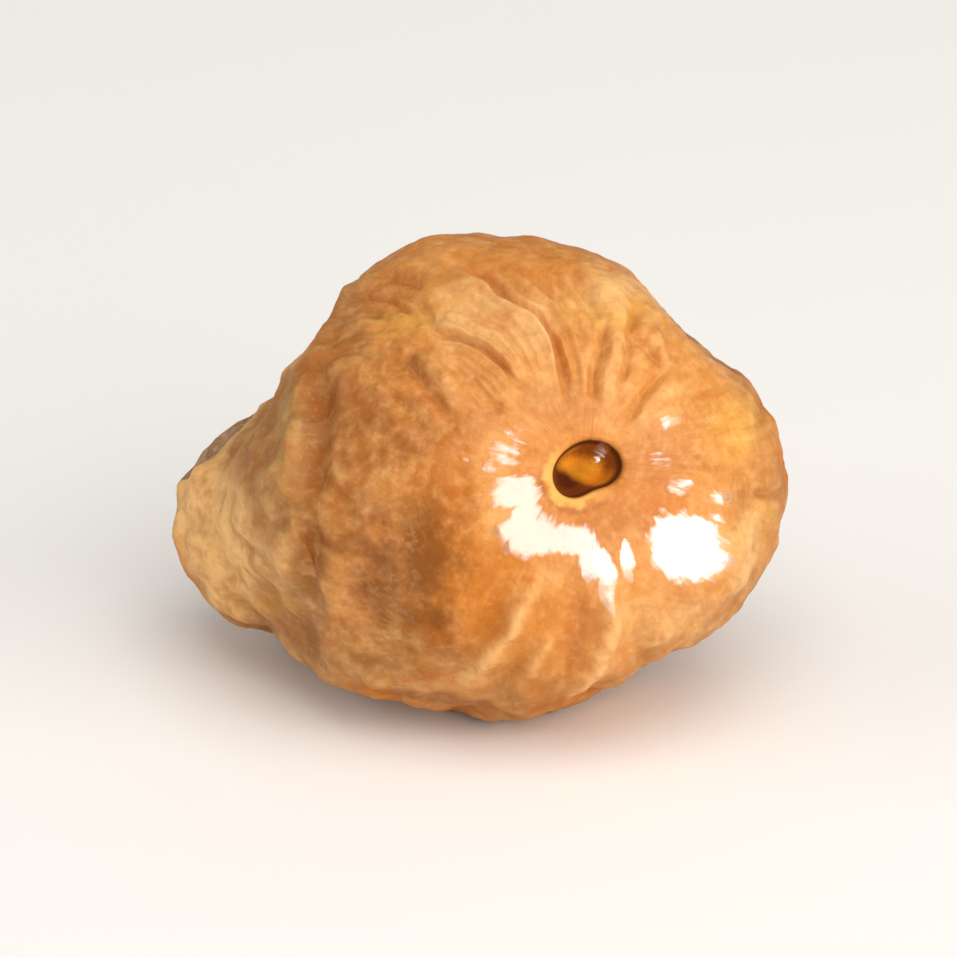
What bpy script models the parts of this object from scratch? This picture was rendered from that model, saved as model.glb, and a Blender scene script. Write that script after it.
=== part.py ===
"""A whole dried fig lying on its side.

Metres, +Z up. The fig rests on z = 0 with the middle of its box over the origin. Its eye, the hole at
the fruit's base, looks towards -Y and a little up, and its neck with the stalk's scar points to -X.

The skin is one closed surface. It is a sphere of directions from the fruit's middle, bent so that its
poles are the eye and the stalk, and pushed out to the form: a round body melted into a tapered neck,
with its swells and hollows, the dish and hole of the eye, the pleats that run from eye to stalk, and
the folds of the shrunken skin.
"""

import math

import bmesh
import bpy
import numpy as np
from mathutils import Vector, noise

MM = 0.001

# Size of the whole fruit, and of the pieces of its form, from the body's middle.
LENGTH = 46.0 * MM
BODY_HALF_DEPTH = 15.6 * MM
BODY_HALF_WIDTH = 17.8 * MM
BODY_HALF_HEIGHT = 18.0 * MM
NECK_ROOT = np.array((-9.8, 0.0, -1.3)) * MM
NECK_ROOT_RADIUS = 15.3 * MM
NECK_END = np.array((-19.2, 5.7, -5.6)) * MM
NECK_END_RADIUS = 8.5 * MM
MELT = 3.0 * MM
FLAT_REST = 1.1 * MM

# Where the eye looks, and where the stalk was, as directions from the body's middle.
EYE_TURN = math.radians(15.5)
EYE_RISE = math.radians(29.5)
STALK_TOWARDS = (-24.7, 9.3, -1.0)

# The eye: a shallow dish, and in it a hole with a low lip, and a bump of dried syrup on its floor.
# Reaches are in radians as seen from the body's middle, and places are (right, up) of the eye.
DISH_DEPTH = 1.5 * MM
DISH_REACH = 0.46
HOLE_REACH = 0.153
HOLE_STRETCH = 0.20
HOLE_UNEVEN = 0.05
HOLE_LEAN = math.radians(17.0)
HOLE_WALL = 0.03
HOLE_DEPTH = 2.9 * MM
LIP_HEIGHT = 0.13 * MM
LIP_REACH = 0.05
BUMP_PLACE = (0.105, 0.052)
BUMP_REACH = 0.090
BUMP_HEIGHT = 1.1 * MM

# The stalk's scar: the neck's end is cut off flat, with a thin raised edge. Here and below, a FALL is
# a pair of angles from the eye, in radians along the skin, over which something grows or fades.
SCAR_NORMAL = (-0.68, 0.17, 0.71)
SCAR_PLACE = (-24.7, 9.3, -0.9)
SCAR_EDGE_HEIGHT = 0.35 * MM
SCAR_EDGE_WIDTH = 0.45 * MM
SCAR_FALL = (2.45, 2.8)

# The mesh: segments round the fruit, and rings from eye to stalk. A crowding above 1 moves the rings
# towards the eye. Round the hole they follow its outline, and crowd onto its wall: by this share, over
# this reach in radians.
SEGMENTS = 92
RINGS = 64
RING_CROWDING = 1.2
WALL_CROWDING = 0.55
WALL_CROWDING_REACH = 0.12
OUTLINE_FALL = (0.2, 0.7)

# The pleats: how many valleys lie round the fruit, how wide each is in its noise, how fast they
# change along the skin, and how far they sway sideways. They are shallower on the neck, and end
# before the stalk.
PLEATS_ROUND = 27
PLEAT_DEPTH = 0.7 * MM
PLEAT_WIDTH = 0.34
PLEAT_CHANGE = 0.8
PLEAT_SWAY = 0.24
PLEAT_GROW_FALL = (0.35, 0.95)
PLEAT_FADE_FALL = (1.9, 2.7)
PLEAT_NECK_SHARE = 0.25
PLEAT_END_FALL = (2.6, 2.95)

# The lumps of the dry neck.
LUMP_SIZE = 4.6 * MM
LUMP_HEIGHT = 0.45 * MM
LUMP_FALL = (1.2, 2.1)

# The creases, ridges, mounds and flat spots below lie where their rows say when seen from this height
# above the front, and fade out where the skin turns away from there, between these two cosines.
FRONT_VIEW_RISE = math.radians(25.0)
FOLD_FACING = (0.20, 0.60)

# A crease's lobe stands this many half widths beside it, and falls over this many half widths towards
# the crease and away from it. Creases begin and end at these shares of their depth and lobe.
LOBE_OFF = 1.7
LOBE_SLOPES = (1.1, 3.0)
CREASE_START = 0.25
CREASE_END = 0.25
RIDGE_START = 0.3
ENDING = 0.3
CORNER_CUTS = 2

# Each reach of the form is halved in on this many times.
HALVINGS = 30

# Swells and hollows: (right, back, up) direction, reach in radians, height in millimetres.
SWELLS = (
    ((-0.50, 0.36, 0.79), 0.34, 2.2),  # upper left shoulder
    ((-0.20, 0.40, 0.89), 0.40, 0.6),  # top
    ((0.70, 0.29, 0.66), 0.28, -2.3),  # hollow of the upper right
    ((0.98, 0.00, 0.05), 0.40, 0.9),  # right side
    ((0.45, -0.38, -0.80), 0.36, -2.5),  # lower right
    ((-0.76, -0.27, -0.59), 0.28, 1.4),  # lower left
    ((-0.28, 0.10, -0.95), 0.26, 0.6),  # underside, towards the neck
    ((-0.66, -0.70, -0.26), 0.26, -1.3),  # sunken patch between eye and neck
    ((0.25, 0.90, 0.35), 0.45, -1.2),  # slack back
    ((-0.35, 0.85, -0.30), 0.38, 0.8),  # back, low
    ((0.60, 0.70, -0.35), 0.34, -0.9),  # back, right
    ((-0.95, -0.30, 0.05), 0.20, 0.9),  # front of the neck's root
)

# How deep the pleats are, as a share of PLEAT_DEPTH: everywhere, and its change round a direction
# within a reach in radians.
PLEATED_EVERYWHERE = 0.8
PLEATED = (
    ((0.00, 0.10, 0.99), 0.60, -0.45),
    ((0.90, 0.10, 0.40), 0.50, -0.60),
    ((0.95, -0.30, -0.05), 0.40, -0.50),
    ((-0.45, -0.85, -0.10), 0.60, -0.60),
    ((0.55, -0.70, -0.45), 0.50, -0.35),
    ((0.85, -0.45, 0.20), 0.50, -0.45),
    ((0.05, -0.98, 0.18), 0.42, -0.80),
    ((0.66, -0.74, 0.02), 0.34, -0.50),
    ((0.80, -0.30, -0.50), 0.45, -0.50),
)

# Where the creases and ridges take the place of the pleats: middle and half sizes, and by how much.
TRACED = (((-4.5, 11.5), (9.5, 7.0)), ((1.5, -12.0), (8.0, 5.0)))
TRACED_SHARE = 0.9

# All that follows is in millimetres right of and above the body's middle, as seen from the front.
# Creases: depth, half width, height of the lobe beside it (left of its run if positive, right if
# negative) and points.
CREASES = (
    (0.80, 0.95, -0.50, ((-6.5, 17.2), (-3.8, 15.2), (-0.5, 13.2), (0.7, 11.9), (1.7, 8.7), (1.9, 6.5))),
    (0.75, 0.90, 0.45, ((-8.3, 12.5), (-7.9, 11.4), (-5.1, 10.7), (-2.9, 8.9), (-1.8, 7.4))),
    (0.50, 0.95, 0.30, ((-15.0, 14.2), (-13.2, 14.6), (-11.6, 14.3), (-10.1, 13.6), (-9.0, 12.5))),
    (0.45, 0.90, 0.25, ((-9.9, 9.6), (-8.9, 8.0), (-7.6, 6.4), (-6.6, 4.6))),
    (0.40, 0.85, 0.20, ((-7.6, 9.3), (-5.6, 8.3), (-3.8, 6.5), (-2.8, 5.0))),
    (0.55, 0.95, 0.0, ((-11.8, 7.9), (-10.5, 6.1), (-9.2, 4.7), (-8.0, 2.9))),
    (0.60, 0.90, 0.25, ((2.0, 16.8), (3.2, 14.9), (4.2, 13.6), (4.6, 11.9))),
    (0.45, 0.90, 0.25, ((6.4, 11.7), (7.4, 10.7), (8.3, 9.8), (9.2, 8.8))),
    (0.40, 0.85, -0.20, ((8.6, 13.2), (9.4, 11.2), (10.1, 9.2))),
    (0.60, 0.95, 0.0, ((2.4, -7.8), (2.9, -9.8), (2.6, -12.0), (0.6, -14.6))),
    (0.35, 0.95, 0.0, ((7.2, -8.4), (7.6, -10.5), (7.0, -12.8))),
    (0.35, 0.95, 0.0, ((-2.4, -7.4), (-3.6, -10.4), (-6.2, -13.1))),
    (0.60, 0.90, 0.0, ((19.2, -0.5), (17.2, -0.7), (16.0, -0.4))),
    (0.95, 1.10, 0.0, ((-15.8, 10.3), (-16.3, 7.5), (-16.7, 4.5), (-17.2, 2.2), (-17.4, -1.2))),
    (0.85, 1.10, 0.0, ((-17.4, -1.2), (-17.5, -4.7), (-17.2, -6.9), (-17.2, -11.0))),
    (0.50, 0.95, 0.0, ((-21.0, 2.9), (-21.4, -0.9))),
)

# Ridges: height, half width and points.
RIDGES = (
    (0.65, 0.95, ((0.4, -6.6), (-0.4, -7.6), (-1.2, -8.9), (-2.3, -11.1), (-4.5, -13.5), (-6.6, -15.5))),
    (0.70, 1.00, ((4.9, -7.4), (5.2, -8.9), (5.3, -11.4), (4.3, -13.5), (1.5, -16.3))),
)

# Mounds: height, half width and middle.
MOUNDS = (
    (0.30, 2.0, (-3.2, -2.6)),
    (0.25, 1.0, (9.3, 1.2)),
    (0.25, 1.0, (8.8, 5.2)),
)

# Flat spots: middle, flat reach, outer reach, how flat they are from 0 to 1, and where they face.
FLAT_SPOTS = (
    ((10.9, -4.5), 2.0, 4.8, 0.9, (0.47, -0.82, 0.33)),
    ((0.5, -4.6), 1.0, 5.0, 0.5, (0.20, -0.92, 0.33)),
)
FACING_ENOUGH = 0.3


def unit(x, y, z):
    v = np.array((x, y, z), float)
    return v / np.linalg.norm(v)


EYE = unit(
    math.sin(EYE_TURN) * math.cos(EYE_RISE),
    -math.cos(EYE_TURN) * math.cos(EYE_RISE),
    math.sin(EYE_RISE),
)
STALK = unit(*STALK_TOWARDS)
BEND = math.pi - math.acos(float(EYE @ STALK))
BEND_AXIS = unit(*np.cross(-EYE, STALK))
ACROSS = unit(*np.cross((0.0, 0.0, 1.0), EYE))
TALL = np.cross(EYE, ACROSS)
FRONT_UP = np.array((0.0, math.sin(FRONT_VIEW_RISE), math.cos(FRONT_VIEW_RISE)))
FRONT_TOWARDS = np.array((0.0, -math.cos(FRONT_VIEW_RISE), math.sin(FRONT_VIEW_RISE)))


def ease(low, high, x):
    """0 below low, 1 above high, and smooth in between."""
    t = np.clip((x - low) / (high - low), 0.0, 1.0)
    return t * t * (3.0 - 2.0 * t)


def hill(x):
    """1 where x is 0, and falling smoothly to 0 on both sides."""
    return np.exp(-(x ** 2))


def turned(points, axis, angle):
    """Each point turned about the axis by its own angle."""
    cos, sin = np.cos(angle)[:, None], np.sin(angle)[:, None]
    along = (points @ axis)[:, None] * axis
    return along + (points - along) * cos + np.cross(axis, points) * sin


def directions(fall, turn):
    """Directions from the body's middle: fall is 0 at the eye and pi at the stalk, turn goes round."""
    straight = (
        np.outer(np.sin(fall) * np.cos(turn), ACROSS)
        + np.outer(np.sin(fall) * np.sin(turn), TALL)
        + np.outer(np.cos(fall), EYE)
    )
    return turned(straight, BEND_AXIS, BEND * ease(0.0, math.pi, fall))


def outside_body(p):
    q = np.stack((p @ EYE / BODY_HALF_DEPTH, p @ ACROSS / BODY_HALF_WIDTH, p @ TALL / BODY_HALF_HEIGHT), 1)
    return (np.linalg.norm(q, axis=1) - 1.0) * BODY_HALF_WIDTH


def outside_neck(p):
    axis = NECK_END - NECK_ROOT
    t = np.clip((p - NECK_ROOT) @ axis / (axis @ axis), 0.0, 1.0)
    radius = NECK_ROOT_RADIUS + t * (NECK_END_RADIUS - NECK_ROOT_RADIUS)
    return np.linalg.norm(p - NECK_ROOT - np.outer(t, axis), axis=1) - radius


def outside(p):
    """Below zero inside the body or the neck, which melt into each other."""
    body, neck = outside_body(p), outside_neck(p)
    h = np.clip(0.5 + 0.5 * (neck - body) / MELT, 0.0, 1.0)
    return neck + (body - neck) * h - MELT * h * (1.0 - h)


def reach_of_form(d):
    """How far the form reaches along each direction, found by halving."""
    low, high = np.zeros(len(d)), np.full(len(d), LENGTH)
    for _ in range(HALVINGS):
        middle = (low + high) / 2
        inside = outside(d * middle[:, None]) < 0
        low, high = np.where(inside, middle, low), np.where(inside, high, middle)
    return low


def angle_to(d, centre):
    return np.arccos(np.clip(d @ centre, -1.0, 1.0))


def swells(d):
    return sum(height * MM * hill(angle_to(d, unit(*towards)) / reach) for towards, reach, height in SWELLS)


def stretch(turn):
    """How much further than its middling reach the hole goes, as a share of it."""
    return HOLE_STRETCH * np.cos(2.0 * (turn - HOLE_LEAN)) + HOLE_UNEVEN * np.cos(3.0 * turn + 1.0)


def eye_relief(fall, turn):
    """The dish, its hole, the lip round it, and the bump on the hole's floor."""
    dish = -DISH_DEPTH * hill(fall / DISH_REACH)
    edge = HOLE_REACH * (1.0 + stretch(turn))
    lip = LIP_HEIGHT * hill((fall - edge - LIP_REACH) / LIP_REACH)
    within = 1.0 - ease(-HOLE_WALL, HOLE_WALL, fall - edge)
    away = np.hypot(fall * np.cos(turn) - BUMP_PLACE[0], fall * np.sin(turn) - BUMP_PLACE[1])
    return dish + lip - within * (HOLE_DEPTH - BUMP_HEIGHT * hill(away / BUMP_REACH))


def scarred(p, fall):
    """The neck's end cut off flat, with the cut's edge raised."""
    normal = unit(*SCAR_NORMAL)
    above = (p - np.array(SCAR_PLACE) * MM) @ normal
    edge = SCAR_EDGE_HEIGHT * hill(above / SCAR_EDGE_WIDTH)
    return p + np.outer((edge - np.maximum(above, 0.0)) * ease(*SCAR_FALL, fall), normal)


def grain(x, y, z):
    """Smooth noise at each place, within -1 and 1."""
    return np.array([noise.noise(Vector(place)) for place in zip(x, y, z)])


def swayed(fall, turn):
    """The skin's lines from eye to stalk, swayed sideways."""
    return turn + PLEAT_SWAY * np.sin(fall) * grain(np.cos(turn), np.sin(turn), 0.9 * fall)


def pleats(fall, turn):
    """Valleys along the skin's lines, where noise round the fruit crosses zero."""
    radius = PLEATS_ROUND / (2.0 * math.pi)
    level = grain(radius * np.cos(turn), radius * np.sin(turn), PLEAT_CHANGE * fall)
    depth = np.clip(1.0 - np.abs(level) / PLEAT_WIDTH, 0.0, 1.0) ** 1.3
    neck = 1.0 - (1.0 - PLEAT_NECK_SHARE) * ease(*PLEAT_FADE_FALL, fall)
    return PLEAT_DEPTH * depth * ease(*PLEAT_GROW_FALL, fall) * neck * (1.0 - ease(*PLEAT_END_FALL, fall))


def pleated(d, seen, facing):
    """The share of their depth that the pleats have in each direction."""
    share = PLEATED_EVERYWHERE + sum(
        change * hill(angle_to(d, unit(*towards)) / reach) for towards, reach, change in PLEATED
    )
    traced = np.max([hill(np.linalg.norm((seen - m) / sizes, axis=1)) for m, sizes in TRACED], axis=0)
    return np.clip(share, 0.0, 1.0) * (1.0 - TRACED_SHARE * traced * facing)


def lumps(p, fall):
    """The neck's skin dried in lumps."""
    level = grain(*(p / LUMP_SIZE).T) + 0.5 * grain(*(p / LUMP_SIZE * 2.0 + 7.0).T)
    return LUMP_HEIGHT * level * ease(*LUMP_FALL, fall)


def beside_line(points, line):
    """How far points are from a line, on which side of its run (left is 1), and how far along."""
    nearest = np.full(len(points), np.inf)
    side, along = np.zeros(len(points)), np.zeros(len(points))
    lengths = np.linalg.norm(np.diff(line, axis=0), axis=1)
    done = np.concatenate(((0.0,), np.cumsum(lengths))) / lengths.sum()
    for i, (start, end) in enumerate(zip(line[:-1], line[1:])):
        run, there = end - start, points - start
        t = np.clip(there @ run / (run @ run), 0.0, 1.0)
        away = np.linalg.norm(there - np.outer(t, run), axis=1)
        closer = away < nearest
        nearest = np.where(closer, away, nearest)
        side = np.where(closer, np.sign(run[0] * there[:, 1] - run[1] * there[:, 0]), side)
        along = np.where(closer, done[i] + t * (done[i + 1] - done[i]), along)
    return nearest, side, along


def rounded(line):
    """The line with its corners cut off, again and again."""
    line = np.array(line)
    for _ in range(CORNER_CUTS):
        cut = np.stack((0.75 * line[:-1] + 0.25 * line[1:], 0.25 * line[:-1] + 0.75 * line[1:]), 1)
        line = np.vstack((line[:1], cut.reshape(-1, 2), line[-1:]))
    return line


def ends(along, first, last):
    """1 along the middle of a line, and first and last at its two ends."""
    start = first + (1.0 - first) * ease(0.0, ENDING, along)
    return start * (last + (1.0 - last) * (1.0 - ease(1.0 - ENDING, 1.0, along)))


def folds(seen):
    """How far the front's creases, ridges and mounds raise the skin."""
    ridge, crease = np.zeros(len(seen)), np.zeros(len(seen))
    for depth, half_width, lobe, line in CREASES:
        away, side, along = beside_line(seen, rounded(line))
        share = ends(along, CREASE_START, CREASE_END)
        crease = np.maximum(crease, depth * share * hill(away / half_width))
        if lobe:
            off = away * side * np.sign(lobe) - LOBE_OFF * half_width
            slope = np.where(off < 0.0, LOBE_SLOPES[0], LOBE_SLOPES[1]) * half_width
            ridge = np.maximum(ridge, abs(lobe) * share * hill(off / slope))
    for height, half_width, line in RIDGES:
        away, side, along = beside_line(seen, rounded(line))
        ridge = np.maximum(ridge, height * ends(along, RIDGE_START, 0.0) * hill(away / half_width))
    for height, half_width, middle in MOUNDS:
        away = np.linalg.norm(seen - np.array(middle), axis=1)
        ridge = np.maximum(ridge, height * hill(away / half_width))
    return (ridge - crease) * MM


def flattened(p, seen, facing):
    """The skin with its flat spots, each through the point at its middle."""
    p = p.copy()
    for middle, flat, outer, flatness, towards in FLAT_SPOTS:
        away = np.linalg.norm(seen - np.array(middle), axis=1)
        centre = p[np.argmin(np.where(facing > FACING_ENOUGH, away, np.inf))]
        share = (1.0 - ease(flat, outer, away)) * flatness * facing
        p += np.outer(share * ((centre - p) @ unit(*towards)), unit(*towards))
    return p


def ringed(fall, turn):
    """Even rings moved towards the eye and onto the wall of its hole, whose outline they follow."""
    fall = math.pi * (fall / math.pi) ** RING_CROWDING
    off = fall - HOLE_REACH
    fall = fall - WALL_CROWDING * off * hill(off / WALL_CROWDING_REACH)
    return fall * (1.0 + stretch(turn) * (1.0 - ease(*OUTLINE_FALL, fall)))


def coordinates(mesh):
    co = np.empty(len(mesh.vertices) * 3)
    mesh.vertices.foreach_get("co", co)
    return co.reshape(-1, 3)


def normals(mesh):
    n = np.empty(len(mesh.vertices) * 3)
    mesh.vertex_normals.foreach_get("vector", n)
    return n.reshape(-1, 3)


def move_to(mesh, points):
    mesh.vertices.foreach_set("co", points.astype(np.float32).ravel())
    mesh.update()


def rested(p):
    """The skin pressed flat where it lies, with the middle of its box over the origin."""
    floor = p[:, 2].min() + FLAT_REST
    p[:, 2] = np.maximum(p[:, 2], floor) - floor
    low, high = p.min(0), p.max(0)
    p[:, :2] -= (low[:2] + high[:2]) / 2
    return p * (LENGTH / (high[0] - low[0]))


def skin_mesh():
    bm = bmesh.new()
    bmesh.ops.create_uvsphere(bm, u_segments=SEGMENTS, v_segments=RINGS, radius=1.0)
    mesh = bpy.data.meshes.new("dried_fig")
    bm.to_mesh(mesh)
    bm.free()
    sphere = coordinates(mesh)
    turn = np.arctan2(sphere[:, 1], sphere[:, 0])
    fall = ringed(np.arccos(np.clip(sphere[:, 2], -1.0, 1.0)), turn)
    d = directions(fall, swayed(fall, turn))
    reach = reach_of_form(d) + swells(d) + eye_relief(fall, turn)
    p = scarred(d * reach[:, None], fall)
    move_to(mesh, p)
    facing = ease(*FOLD_FACING, normals(mesh) @ FRONT_TOWARDS)
    seen = np.stack((p[:, 0], p @ FRONT_UP), 1) / MM
    p = flattened(p, seen, facing)
    move_to(mesh, p)
    relief = lumps(p, fall) + folds(seen) * facing - pleats(fall, turn) * pleated(d, seen, facing)
    p += normals(mesh) * relief[:, None]
    move_to(mesh, rested(p))
    bm = bmesh.new()
    bm.from_mesh(mesh)
    bmesh.ops.triangulate(bm, faces=bm.faces, quad_method="SHORT_EDGE")
    bm.to_mesh(mesh)
    bm.free()
    return mesh


def skin_material():
    material = bpy.data.materials.new("fig_skin")
    material.use_nodes = True
    shader = material.node_tree.nodes["Principled BSDF"]
    shader.inputs["Base Color"].default_value = (0.72, 0.38, 0.12, 1.0)
    shader.inputs["Roughness"].default_value = 0.42
    shader.inputs["Metallic"].default_value = 0.0
    return material


def main():
    for obj in list(bpy.data.objects):
        bpy.data.objects.remove(obj)
    mesh = skin_mesh()
    mesh.shade_smooth()
    mesh.materials.append(skin_material())
    collection = bpy.data.collections.new("dried_fig")
    bpy.context.scene.collection.children.link(collection)
    collection.objects.link(bpy.data.objects.new("dried_fig", mesh))


main()
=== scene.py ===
import math

import bpy
import numpy as np
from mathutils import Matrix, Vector, noise

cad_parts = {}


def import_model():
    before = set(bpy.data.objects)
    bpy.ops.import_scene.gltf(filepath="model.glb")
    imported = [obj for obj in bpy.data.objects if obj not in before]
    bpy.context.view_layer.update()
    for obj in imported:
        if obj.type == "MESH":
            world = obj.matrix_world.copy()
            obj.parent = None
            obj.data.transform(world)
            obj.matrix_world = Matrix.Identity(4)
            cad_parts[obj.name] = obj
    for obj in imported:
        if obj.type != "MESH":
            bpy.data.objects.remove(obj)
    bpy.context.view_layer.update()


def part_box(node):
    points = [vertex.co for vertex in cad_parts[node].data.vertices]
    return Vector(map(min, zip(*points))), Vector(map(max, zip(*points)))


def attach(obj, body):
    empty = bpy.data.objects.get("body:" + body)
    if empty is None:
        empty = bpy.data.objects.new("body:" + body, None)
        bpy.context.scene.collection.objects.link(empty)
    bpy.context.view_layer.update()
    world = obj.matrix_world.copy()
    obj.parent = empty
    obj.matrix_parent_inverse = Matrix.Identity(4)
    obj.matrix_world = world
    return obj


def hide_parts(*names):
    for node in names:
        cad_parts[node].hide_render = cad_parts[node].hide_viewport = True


MM = 0.001

# The form, in the numbers of the CAD model: lengths in metres from the body's middle.
LENGTH = 46.0 * MM
BODY_HALF_DEPTH = 15.6 * MM
BODY_HALF_WIDTH = 17.8 * MM
BODY_HALF_HEIGHT = 18.0 * MM
NECK_ROOT = np.array((-9.8, 0.0, -1.3)) * MM
NECK_ROOT_RADIUS = 15.3 * MM
NECK_END = np.array((-19.2, 5.7, -5.6)) * MM
NECK_END_RADIUS = 8.5 * MM
MELT = 3.0 * MM
FLAT_REST = 1.1 * MM
EYE_TURN = math.radians(15.5)
EYE_RISE = math.radians(29.5)
STALK_TOWARDS = (-24.7, 9.3, -1.0)

# A point of the skin has a fall, from 0 at the eye to pi at the stalk, and a turn, its angle round the
# eye from the right. Lengths across the eye and its hole are falls too.
DISH_DEPTH = 1.5 * MM
DISH_REACH = 0.46
HOLE_REACH = 0.153
HOLE_STRETCH = 0.20
HOLE_UNEVEN = 0.05
HOLE_UNEVEN_TURN = 1.0
HOLE_LEAN = math.radians(17.0)
HOLE_WALL = 0.018
HOLE_DEPTH = 2.9 * MM
LIP_HEIGHT = 0.13 * MM
LIP_REACH = 0.050
BEAD_PLACE = (0.110, 0.052)
BEAD_REACH = 0.090
BEAD_HEIGHT = 1.3 * MM

# The scar that the stalk left: an oval on a plane, its place and half sizes in millimetres, and the
# share of these at which its edge and its brim lie.
SCAR_NORMAL = (-0.68, 0.17, 0.71)
SCAR_PLACE = (-24.20, 7.78, -0.18)
SCAR_HALF_SIZES = (4.0, 3.7)
SCAR_UNEVEN = 0.16
SCAR_EDGE = (0.86, 1.06)
BRIM_REACH = 1.12
BRIM_HALF_WIDTH = 0.11
BRIM_HEIGHT = 0.18 * MM
SCAR_FALL = (2.45, 2.8)
SCAR_SIDE_FALL = (2.15, 2.35)

# The mesh, whose rings crowd at the eye and on the wall of its hole, and take the hole's outline there.
# HALVINGS is how often the search for the form's surface halves its step.
SEGMENTS = 520
RINGS = 189
RING_CROWDING = 1.3
WALL_CROWDING = 0.55
WALL_CROWDING_REACH = 0.12
WALL_CROWDING_START = (0.0, 0.1)
OUTLINE_FALL = (0.2, 0.7)
HALVINGS = 30

# Pleats and wrinkles that run from the eye to the stalk: how many round the eye, how fast they change
# on the way, an offset that makes each noise different, how wide a valley is in it, and its power.
PLEATS = (27, 0.8, 0.0, 0.34, 1.3)
FINE = (60, 1.8, 20.0, 0.45, 1.2)
TINY = (110, 4.5, 40.0, 0.50, 1.2)
SHORT = (44, 7.0, 60.0, 0.32, 1.2)
PUCKER = (30, 3.0, 80.0, 0.40, 1.2)

# How far they sway sideways, and where they start, fade towards the neck and end.
SWAY = 0.24
SWAY_CHANGE = 0.9
TINY_SWAY = 0.02
SHORT_SWAY = 0.03

OFF_EYE_FALL = (0.35, 0.95)
PLEAT_FADE_FALL = (1.9, 2.7)
PLEAT_NECK_SHARE = 0.25
WRINKLE_FADE_FALL = (1.8, 2.6)
WRINKLE_NECK_SHARE = 0.4
SMOOTH_FALL = (2.6, 2.95)
TINY_FALL = (0.7, 1.3)
BACK_WRINKLES = 1.5

# How strong these wrinkles are everywhere, how much more on the pleats and on the left shoulder.
FINE_SHARES = (0.10, 0.35, 0.6)
TINY_SHARES = (0.3, 0.3, 0.5)

# The pucker by the eye's hole, and the groove beside it: how far from the hole's edge, and on which
# side of it.
PUCKER_OFF = (0.02, 0.12)
PUCKER_END_FALL = (0.35, 0.7)
PUCKER_TURN = 0.5
PUCKER_SIDE = (-0.5, 0.5)
GROOVE_OFF = 0.088
GROOVE_HALF_WIDTH = 0.013
GROOVE_SWAY = 0.02
GROOVE_TURN = 0.9
GROOVE_SIDE = (0.2, 0.8)
GROOVE_RAGGED = 0.5

# Noises in space: the size of their features, and an offset that makes each one different.
WOBBLES = ((2.2 * MM, 0.0), (2.2 * MM, 5.0))
BROAD = (7.0 * MM, 3.0)
PATCH = (3.0 * MM, 11.0)
PEBBLE = (2.3 * MM, 21.0)
GRIT = (1.1 * MM, 31.0)
SCAR_OUTLINE = (2.4 * MM, 121.0)
LUMPS = (4.6 * MM, 0.0)
SMALL_LUMPS = (2.3 * MM, 7.0)
SMALL_LUMP_SHARE = 0.5
LUMP_FALL = (1.2, 2.1)
SUPPLE_PEBBLE_SHARE = 0.2

# What each feature does at its full strength: its height in millimetres, and how much painted shade
# (as hollow) and painted highlight (as raised) it gives the colour. Ridges and creases come in millimetres.
FEATURES = {
    "ridge": (1.0, 0.0, 1.8),
    "crease": (-1.0, 0.7, 0.0),
    "pleat": (-0.7, 0.65, -0.25),
    "fine": (-0.18, 0.4, -0.25),
    "tiny": (-0.07, 0.0, 0.0),
    "short": (-0.10, 0.2, 0.0),
    "pucker": (-0.05, 0.1, 0.0),
    # The groove's shallow dip is darkened mostly by painted shade.
    "groove": (-0.08, 1.3, 0.0),
    "lump": (0.45, -0.27, 0.315),
    "pebble": (0.46, -0.8, 0.7),
    "grit": (0.09, 0.0, 0.0),
}
# The painted highlight that all the skin gets, and the most painted shade in a hollow.
RIDGE_LIGHT_EVERYWHERE = 0.25
MOST_PAINTED_SHADE = 1.5

# The photograph's view, from this far above the floor, and the cosines at which the skin faces it.
FRONT_VIEW_RISE = math.radians(25.0)
FRONT_SIDE = (-0.1, 0.4)
BACK_SIDE = (0.0, 0.6)
FOLD_FACING = (0.14, 0.55)
FACET_FACING = 0.3

# Zones of the skin: direction and reach in radians. Where it is supple, dry skin starts further away.
SHOULDER = ((-0.40, -0.10, 0.90), 0.70)
SUPPLE = ((0.0, 0.2, 1.0), 0.75)
SUPPLE_DELAY = 0.7
DRY_ANGLE = (0.75, 1.5)
DRY_BROAD = 0.5
DRY_PATCH = 0.2

# The fine streaks of the colour: their noise's place, and how strong they are everywhere, how much
# more off the eye and just above it.
RIBS_REACH = 18.0
RIBS_CHANGE = 6.0
STREAK_SHARES = (0.5, 0.5, 0.6)
ABOVE_EYE = (-0.3, 0.6)
ABOVE_EYE_PATCH = (-0.3, 0.4)

# Swells and hollows of the form: direction, reach in radians, height in millimetres.
SWELLS = (
    ((-0.50, 0.36, 0.79), 0.34, 2.2),
    ((-0.20, 0.40, 0.89), 0.40, 0.6),
    ((0.70, 0.29, 0.66), 0.28, -2.3),
    ((0.98, 0.00, 0.05), 0.40, 0.9),
    ((0.45, -0.38, -0.80), 0.36, -2.5),
    ((-0.76, -0.27, -0.59), 0.28, 1.4),
    ((-0.28, 0.10, -0.95), 0.26, 0.6),
    ((-0.66, -0.70, -0.26), 0.26, -1.3),
    ((0.25, 0.90, 0.35), 0.45, -1.2),
    ((-0.35, 0.85, -0.30), 0.38, 0.8),
    ((0.60, 0.70, -0.35), 0.34, -0.9),
    ((-0.95, -0.30, 0.05), 0.20, 0.9),
)

# How deep the pleats are on one side or another: direction, reach in radians, change.
PLEATED_SHARE = 0.8
PLEATED = (
    ((0.00, 0.10, 0.99), 0.60, -0.72),
    ((-0.10, 0.42, 0.90), 0.35, -0.40),
    ((0.50, 0.30, 0.80), 0.42, -0.55),
    ((0.90, 0.10, 0.40), 0.50, -0.60),
    ((0.95, -0.30, -0.05), 0.40, -0.50),
    ((-0.45, -0.85, -0.10), 0.60, -0.60),
    ((0.55, -0.70, -0.45), 0.50, -0.35),
    ((0.85, -0.45, 0.20), 0.50, -0.45),
    ((0.05, -0.98, 0.18), 0.42, -0.80),
    ((0.66, -0.74, 0.02), 0.34, -0.50),
    ((0.80, -0.30, -0.50), 0.45, -0.50),
)

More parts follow.
